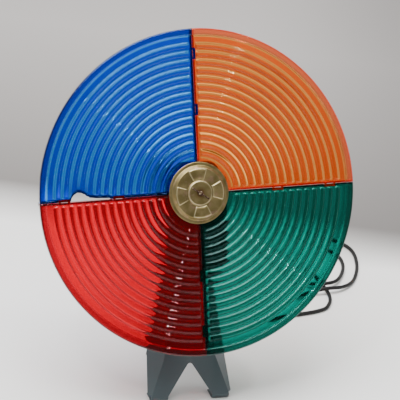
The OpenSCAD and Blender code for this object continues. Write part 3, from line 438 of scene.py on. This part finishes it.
tongue_low, tongue_t, notch_len, notch_eased = 1.3, 1.2, 14.6, 0.7
chip_edge = ((112, 0), (114, 1.0), (116, 1.5), (128, 2.0), (139, 3.2), (143, 5.2), (147, 8.1),
             (151, 10.0), (155, 10.6), (159, 8.6), (162, 5.2), (163, 2.0), (163.6, 0))
melt_x, melt_y, melt_reach, melt_rib, melt_bead = 9, 152, 17, 1.25, 0.6

# The mesh of a quarter is a fan of rows along the radius, closer at the ribs and the lip, and of
# columns that keep to both straight edges and share out the angle between them.
rib_steps = (0, 0.5, 1.3, 2.4, 3.4, 4, 4.6, 5.6, 6.7, 7.5, 8, 9)
rows = [sheet_r, 20, 30, 38, 40, 41, 42.5, 44, 45.5]
rows += [rib_first - rib_half + rib_pitch * k + step for k in range(rib_count) for step in rib_steps]
rows += [187, 188.3, 189.5, 192, 193.6, 194.2, 194.6, 195, 195.4, 196.2, 197.6, 199.2, 200.6, 201.6,
         202.2, 202.6, 202.85, wheel_r]
edge_steps = (0, 0.25, 0.7, 1.3, 1.8, 2.1, 2.4, 2.8, 3.3, 4.0, 4.8, 5.6, 6.4, 7.2, 8.4)
edge_share = 0.3
middle_steps = 56
columns = 2 * len(edge_steps) + middle_steps

# Where the tint changes, each from and to a distance: dark edges, outline and melted edge, the tint
# of the rim, and lighter lines of painted highlight along the ribs and the foot of the lip. The flanks
# of the ribs towards the hub and the lip are glossier.
edge_band, outline_band, melted_band = (0, 1.2), (0.6, 1.9), (2.2, 4.8)
rim_band = (195.2, 196.4)
line_band, line_core, line_dip = (1.0, 2.2), (0.2, 1.1), 0.3
line_from_hub, line_from_edge = (42, 44), (3, 6)
foot_highlight, foot_band = 194.4, (0.5, 1.4)
gloss_place, gloss_band, gloss_from_edge, lip_gloss = -2.5, (0.4, 1.0), (6, 10), 0.7


def rise(value, low, high):
    """Runs smoothly from 0 at low to 1 at high and stays there outside them."""
    share = max(0.0, min(1.0, (value - low) / (high - low)))
    return share * share * (3 - 2 * share)


def fall(value, low, high):
    return 1 - rise(value, low, high)


def chip_depth(radius):
    """How far the broken edge has gone back at a radius."""
    for (r0, depth0), (r1, depth1) in zip(chip_edge, chip_edge[1:]):
        if r0 <= radius < r1:
            return depth0 + (depth1 - depth0) * rise(radius, r0, r1)
    return 0.0


def panel_point(radius, column, gone):
    """The place of a row's point in a column, with the second edge gone back where it is broken."""
    shrink = min(1, edge_share * radius / edge_steps[-1])
    near = [seam_edge + step * shrink for step in edge_steps]
    far = [seam_edge + gone + step * shrink for step in edge_steps]
    if column < len(near):
        y = near[column]
        return math.sqrt(radius ** 2 - y ** 2), y
    if column >= columns - len(far):
        x = far[columns - 1 - column]
        return x, math.sqrt(radius ** 2 - x ** 2)
    begin, end = math.asin(near[-1] / radius), math.acos(far[-1] / radius)
    angle = begin + (end - begin) * (column - len(near) + 1) / (middle_steps + 1)
    return radius * math.cos(angle), radius * math.sin(angle)


def rib_shape(radius, inset):
    """Height of the nearest rib above the sheet, rounded off at its ends, and the way from its crest."""
    nearest = max(0, min(rib_count - 1, round((radius - rib_first) / rib_pitch)))
    aside = radius - rib_first - rib_pitch * nearest
    past = max(0.0, rib_clear - inset) * rib_end_slope
    round_part = rib_arc ** 2 - aside ** 2 - past ** 2
    return max(0.0, math.sqrt(max(round_part, 0)) - rib_drop), aside


def bead_share(radius, first_inset, second_inset):
    """How much of the bead stands at a point; the second edge is notched for the tongues."""
    share = fall(min(first_inset, second_inset), *bead_flank) * rise(radius, *bead_end)
    if second_inset < first_inset:
        for tongue_r in tongue_radii:
            share *= rise(abs(radius - tongue_r), notch_len / 2 - notch_eased, notch_len / 2)
    return share


def painted_highlight_line(radius, inset, aside, highlight_place):
    """The painted highlight along a rib, a light line weaker in its middle, which ends before the hub and the
    edges.
    """
    off = abs((aside - highlight_place + rib_pitch / 2) % rib_pitch - rib_pitch / 2)
    line = fall(off, *line_band) * (line_dip + (1 - line_dip) * rise(off, *line_core))
    return line * (rise(radius, *line_from_hub) * rise(inset, *line_from_edge))


def quarter_panel(chipped, highlight_place):
    """One quarter in its own corner: first edge along X, second along Y, in millimetres."""
    bm = bmesh.new()
    edge_mark = bm.verts.layers.float.new("edge")
    rim_mark = bm.verts.layers.float.new("rim")
    highlight_mark = bm.verts.layers.float.new("thin")
    gloss_mark = bm.verts.layers.float.new("gloss")
    back_mark = bm.verts.layers.float.new("back")
    bmesh.ops.spin(bm, geom=strung(bm, [(radius, 0, 0) for radius in rows]), cent=(0, 0, 0),
                   axis=(0, 0, 1), angle=math.pi / 2, steps=columns - 1)
    for vert in bm.verts:
        radius = vert.co.xy.length
        column = round(math.atan2(vert.co.y, vert.co.x) / (math.pi / 2) * (columns - 1))
        gone = chip_depth(radius) if chipped else 0.0
        x, y = panel_point(radius, column, gone)
        first_inset, second_inset = y - seam_edge, x - seam_edge - gone
        inset = min(first_inset, second_inset)
        bead = bead_share(radius, first_inset, second_inset)
        edge = max(bead, fall(inset, *edge_band), fall(wheel_r - radius, *outline_band))
        rib, aside = rib_shape(radius, inset)
        thin = painted_highlight_line(radius, inset, aside, highlight_place)
        if chipped:
            melt = math.exp(-((x - melt_x) / melt_reach) ** 2 - ((y - melt_y) / melt_reach) ** 2)
            rib *= max(0.0, 1 - melt_rib * melt)
            bead *= 1 - melt_bead * melt
            thin *= 1 - melt
            edge = max(edge, fall(second_inset, *melted_band))
        lip = rise(radius, lip_foot, lip_full)
        lip_rise = (lip_z - sheet_z - lip_crown * ((radius - lip_middle) / lip_half) ** 2) * lip
        rounding = (rim_round * fall(wheel_r - radius, 0, rim_round_w)
                    + bead_round * fall(inset, 0, bead_round_w) * bead)
        vert.co = (x, y, sheet_z + max(rib, (bead_front - sheet_z) * bead, lip_rise) - rounding)
        vert[back_mark] = sheet_z + max((bead_back - sheet_z) * bead, lip_rise) - rounding
        vert[edge_mark] = edge
        vert[rim_mark] = rise(radius, *rim_band)
        # Painted highlight: lighter lines beside the rib crests and at the foot of the lip.
        vert[highlight_mark] = max(thin, fall(abs(radius - foot_highlight), *foot_band))
        vert[gloss_mark] = max(lip_gloss * lip, fall(abs(aside - gloss_place), *gloss_band)
                               * rise(inset, *gloss_from_edge))
    behind = bmesh.ops.extrude_face_region(bm, geom=bm.faces[:])["geom"]
    for vert in behind:
        if isinstance(vert, bmesh.types.BMVert):
            vert.co.z = -vert[back_mark]
            # The back takes the painted highlight colour all over.
            vert[highlight_mark] = 1.0
            vert.co.y -= lap * fall(vert.co.y - seam_edge, 0, bead_w)
    bm.verts.layers.float.remove(back_mark)
    for tongue_r in tongue_radii:
        tab = bmesh.ops.create_grid(bm, x_segments=3, y_segments=3, size=1)["verts"]
        for vert in tab:
            vert.co = (tongue_r + tongue_x[round(1.5 * vert.co.x + 1.5)],
                       tongue_y[round(1.5 * vert.co.y + 1.5)], tongue_low)
        tab_faces = list(dict.fromkeys(face for vert in tab for face in vert.link_faces))
        window = [face for face in tab_faces if all(len(vert.link_faces) == 4 for vert in face.verts)]
        bmesh.ops.delete(bm, geom=window, context="FACES_ONLY")
        ring = bmesh.ops.extrude_face_region(bm, geom=[f for f in tab_faces if f.is_valid])["geom"]
        bmesh.ops.translate(bm, vec=(0, 0, tongue_t),
                            verts=[part for part in ring if isinstance(part, bmesh.types.BMVert)])
    in_order(bm)
    bmesh.ops.recalc_face_normals(bm, faces=bm.faces)
    return bm


# A tint has the colours of the ribs, the lighter lines of painted highlight, the edges, the rim and the
# gleam, and the place of the highlight line beside a rib's crest. The lines are in the front; the back
# takes the highlight colour but for its edges and its rim.
tints = {
    "orange": ((1.0, 0.036, 0.000002, 1), (1.0, 0.52, 0.105, 1), (0.62, 0.010, 0.010, 1),
               (1.0, 0.17, 0.075, 1), (0.7, 0.38, 0.17, 1), 2.7),
    "blue": ((0.0000005, 0.0022, 0.53, 1), (0.06, 0.42, 1.0, 1), (0.0001, 0.001, 0.035, 1),
             (0.0005, 0.015, 0.46, 1), (0.07, 0.25, 0.6, 1), 2.7),
    "red": ((0.52, 0.0003, 0.0070, 1), (0.60, 0.0010, 0.013, 1), (0.20, 0.0005, 0.004, 1),
            (0.26, 0.001, 0.006, 1), (0.6, 0.3, 0.3, 1), -4.1),
    "green": ((0.00002, 0.065, 0.042, 1), (0.002, 0.25, 0.19, 1), (0.0002, 0.030, 0.022, 1),
              (0.0003, 0.085, 0.06, 1), (0.10, 0.25, 0.25, 1), -4.1),
}
styrene = {"IOR": 1.55, "Transmission Weight": 0.94, "Coat IOR": 1.6, "Coat Roughness": 0.05}
panel_crease = 50
for quarter, (name, (deep, highlight_tint, edge, rim, gleam, highlight_place)) in enumerate(tints.items()):
    tinted, shader, wire = finish(name + "_plastic", {**styrene, "Specular Tint": gleam})
    streaks = wire.grain(40, 3)
    # The light lines along the ribs are painted highlight.
    body = wire.blend(0.9 * wire.mark("thin") + 0.06 * streaks, deep, highlight_tint)
    body = wire.blend(0.97 * wire.mark("edge"), wire.blend(0.8 * wire.mark("rim"), body, rim), edge)
    dress(shader, wire, body, 0.02 + 0.04 * streaks, wire.grain(16, 2), 0.03, 0.5)
    wire.feed(shader.inputs["Coat Weight"], 0.3 * wire.mark("gloss"))
    bm = quarter_panel(name == "blue", highlight_place)
    turn = Matrix.Rotation(math.radians(wheel_turn + 90 * quarter), 4, "Z")
    bmesh.ops.transform(bm, matrix=on_wheel @ turn, verts=bm.verts)
    piece(bm, name + "_quarter", tinted, "wheel", name + "_plastic", name + "_panel", crease=panel_crease)

# The hub clamps the quarters: a steel disc with pegs and a sleeve behind, and a pressed, gold-plated
# cap in front with four raised pads and a dished boss. The plating has browned and gone pink, and it
# is rusty round the shaft; the slopes of its pads and the edge of its boss carry a painted highlight.
gold_plate, shader, wire = finish("gold_plate", {"Metallic": 1.0})
dark_gold, light_gold = (0.185, 0.146, 0.056, 1), (0.275, 0.216, 0.098, 1)
pink_gold, rust_brown = (0.36, 0.22, 0.16, 1), (0.12, 0.045, 0.015, 1)
highlight_gold = (0.90, 0.82, 0.58, 1)
cloud = wire.grain(14, 5)
pits = wire.grain(1.3, 3)
blush = wire.grain(9, 4, (1, 1.4, 1)).clamped(0.52, 0.7)
plate = wire.blend(cloud.clamped(0.35, 0.7), dark_gold, light_gold)
plate = wire.blend(0.55 * blush, plate, pink_gold)
plate = wire.blend(0.7 * wire.mark("rust"), plate, rust_brown)
# Painted highlight: the slopes of the pads and the edge of the boss are lightened.
plate = wire.blend(0.3 * wire.mark("ridge"), plate, highlight_gold)
dress(shader, wire, plate, 0.34 + 0.20 * cloud, pits, 0.04, 0.5)

hub_r, cap_low, cap_top, boss_top, shaft_r = 38.5, 1.0, 6.3, 8.3, 3.1
boss_edge, boss_edge_z, boss_shine = (14, 15.5), boss_top - 0.7, 0.7
rust_band = (3.5, 8)
pad_count, pad_half, pad_turn, pad_h, pad_in, pad_out = 4, 22, 4, 0.9, 17, 30.6
pad_side, pad_in_w, pad_out_w = 1.6, 1, 0.9
close_by = 0.05
cap_steps, cap_crease = 240, 60
cap_outline = [
    (shaft_r, boss_top - 0.8), (shaft_r, boss_top - 0.35), (4.0, boss_top - 0.25), (6, boss_top - 0.35),
    (9, boss_top - 0.25), (12, boss_top - 0.05), (13.6, boss_top), (14.6, boss_top - 0.15),
    (15.2, boss_top - 0.6), (15.7, cap_top + 0.5), (16.1, cap_top + 0.1), (16.7, cap_top),
    (17.0, cap_top), (17.5, cap_top), (18, cap_top), (21, cap_top), (24, cap_top), (27, cap_top),
    (29.4, cap_top), (30.1, cap_top), (30.8, cap_top), (31.2, cap_top - 0.1), (31.7, cap_top - 0.5),
    (33.8, 2.5), (34.3, 2.0), (34.9, 1.82), (36, 1.8), (37.6, 1.8), (38.2, 1.6), (hub_r, 1.2),
    (hub_r, cap_low), (33.7, cap_low), (30.7, 5.3), (15.2, 5.5), (14.2, 7.5), (shaft_r, boss_top - 0.8)]
bm = turned_piece(cap_outline, cap_steps)
rust_mark = bm.verts.layers.float.new("rust")
ridge_highlight_mark = bm.verts.layers.float.new("ridge")
for vert in bm.verts:
    reach = vert.co.xy.length
    angle = math.degrees(math.atan2(vert.co.y, vert.co.x)) - pad_turn
    aside = abs((angle + 180 / pad_count) % (360 / pad_count) - 180 / pad_count)
    if vert.co.z > cap_top - close_by and pad_in <= reach <= pad_out + close_by:
        lift = rise(reach, pad_in, pad_in + pad_in_w) * fall(reach, pad_out - pad_out_w, pad_out)
        lift *= fall(aside, pad_half - pad_side, pad_half + pad_side)
        vert.co.z += pad_h * lift
        # Painted highlight on the slopes of the pads and the edge of the boss.
        vert[ridge_highlight_mark] = 4 * lift * (1 - lift)
    elif vert.co.z > boss_edge_z and boss_edge[0] < reach < boss_edge[1]:
        vert[ridge_highlight_mark] = boss_shine
    vert[rust_mark] = fall(reach, *rust_band)
bmesh.ops.recalc_face_normals(bm, faces=bm.faces)
turn = Matrix.Rotation(math.radians(wheel_turn), 4, "Z")
bmesh.ops.transform(bm, matrix=on_wheel @ turn, verts=bm.verts)
piece(bm, "hub_cap", gold_plate, "wheel", "gold_plate", "front_cap", crease=cap_crease)
piece(softened("rear_disc", 0.25), "hub_disc", finishes["zinc"], "wheel", "zinc", "rear_disc")

# The end of the shaft and the pin across it are bare steel and have rusted brown, with some of the
# yellowed metal still showing.
pin_steel, shader, wire = finish("pin_steel", {"Specular IOR Level": 0.2})
dark_rust, bare_metal = (0.035, 0.013, 0.007, 1), (0.50, 0.41, 0.26, 1)
flakes = wire.grain(1.6, 5)
bare = flakes.clamped(0.52, 0.74)
dress(shader, wire, wire.blend(bare, dark_rust, bare_metal), 0.75 - 0.35 * bare, flakes, 0.12)
wire.feed(shader.inputs["Metallic"], 0.8 * bare)
piece(softened("drive_pin", 0.3), "cross_pin", pin_steel, "wheel", "pin_steel", "drive_pin")
piece(softened("output_shaft", 0.5), "wheel_shaft", pin_steel, "wheel", "shaft_steel", "output_shaft")

# The table is pale and plain but for painted shade: it turns greyer some way behind the wheel, where
# less light falls, and more so at the right.
floor_tone, shader, wire = finish("floor", {"Roughness": 0.8, "Specular IOR Level": 0.2})
floor_half, floor_drop = 9, 0.0002
near_white, far_shade, farthest_grey, corner_shade = (
    (0.84, 0.835, 0.82, 1), (0.20, 0.189, 0.182, 1), (0.42, 0.40, 0.39, 1), (0.10, 0.095, 0.092, 1))
dusk = (0.335, 0.455)
corner_band = (0.0, 0.4)
depth = wire.along(wire.place(), (math.sin(azimuth), math.cos(azimuth), 0))
side = wire.along(wire.place(), tuple(level))
shade = wire.node("ValToRGB", {"stops": [(0.0, near_white), (dusk[0], near_white), (dusk[1], far_shade),
                                         (1.0, farthest_grey)]}, {"Fac": depth})
# Painted shade: darker still far behind the wheel, towards the right.
corner_shade_share = 0.5 * depth.clamped(*dusk) * side.clamped(*corner_band)
wire.feed(shader.inputs["Base Color"], wire.blend(corner_shade_share, shade, corner_shade))
bm = bmesh.new()
bmesh.ops.create_grid(bm, x_segments=8, y_segments=8, size=floor_half)
table = bpy.data.meshes.new("floor")
bm.to_mesh(table)
bm.free()
table.materials.append(floor_tone)
floor = bpy.data.objects.new("floor", table)
floor.location.z = -floor_drop
bpy.context.collection.objects.link(floor)

# Soft studio light: the room is bright overhead, behind and beside the wheel and dim in front of it.
# A wide sheet hangs above, smaller ones at the right and high in front put a shine on the flanks of
# the ribs, and two small lamps give the glints.
world = bpy.data.worlds.new("studio")
world.use_nodes = True
wire = Wire(world.node_tree)
room = world.node_tree.nodes["Background"]
room.inputs["Color"].default_value = (1.0, 0.985, 0.965, 1)
dim_room, bright_room, room_band = 0.24, 0.55, (-0.2, 0.55)
mirrored = ahead - front * (2 * ahead.dot(front))
facing = wire.along(wire.node("TexCoord", {}, {}, out="Generated"), tuple(mirrored))
wire.feed(room.inputs["Strength"], dim_room + bright_room * (1 - facing.clamped(*room_band)))
bpy.context.scene.world = world

sheet_away, lamp_away = 1.5, 1.9
lamps = {
    "overhead": (Vector((-0.4, 0.1, 2.6)), 2.0, 2.0, 150),
    "right_sheet": (hub + sheet_away * (0.93 * right + 0.15 * up + 0.30 * front), 0.8, 1.1, 3.0),
    "left_sheet": (hub + sheet_away * (-0.25 * right + 0.60 * up + 0.76 * front), 1.5, 0.5, 6),
    "first_lamp": (hub + Vector((0.51, -0.12, 0.85)) * lamp_away, 0.12, 0.12, 6),
    "second_lamp": (hub + Vector((-0.43, -0.42, 0.80)) * lamp_away, 0.12, 0.12, 6),
}
for name, (place, width, length, power) in lamps.items():
    light = bpy.data.lights.new(name, "AREA")
    light.shape = "RECTANGLE"
    light.size = width
    light.size_y = length
    light.energy = power
    lamp = bpy.data.objects.new(name, light)
    lamp.location = place
    lamp.rotation_euler = (hub - place).to_track_quat("-Z", "Y").to_euler()
    bpy.context.collection.objects.link(lamp)
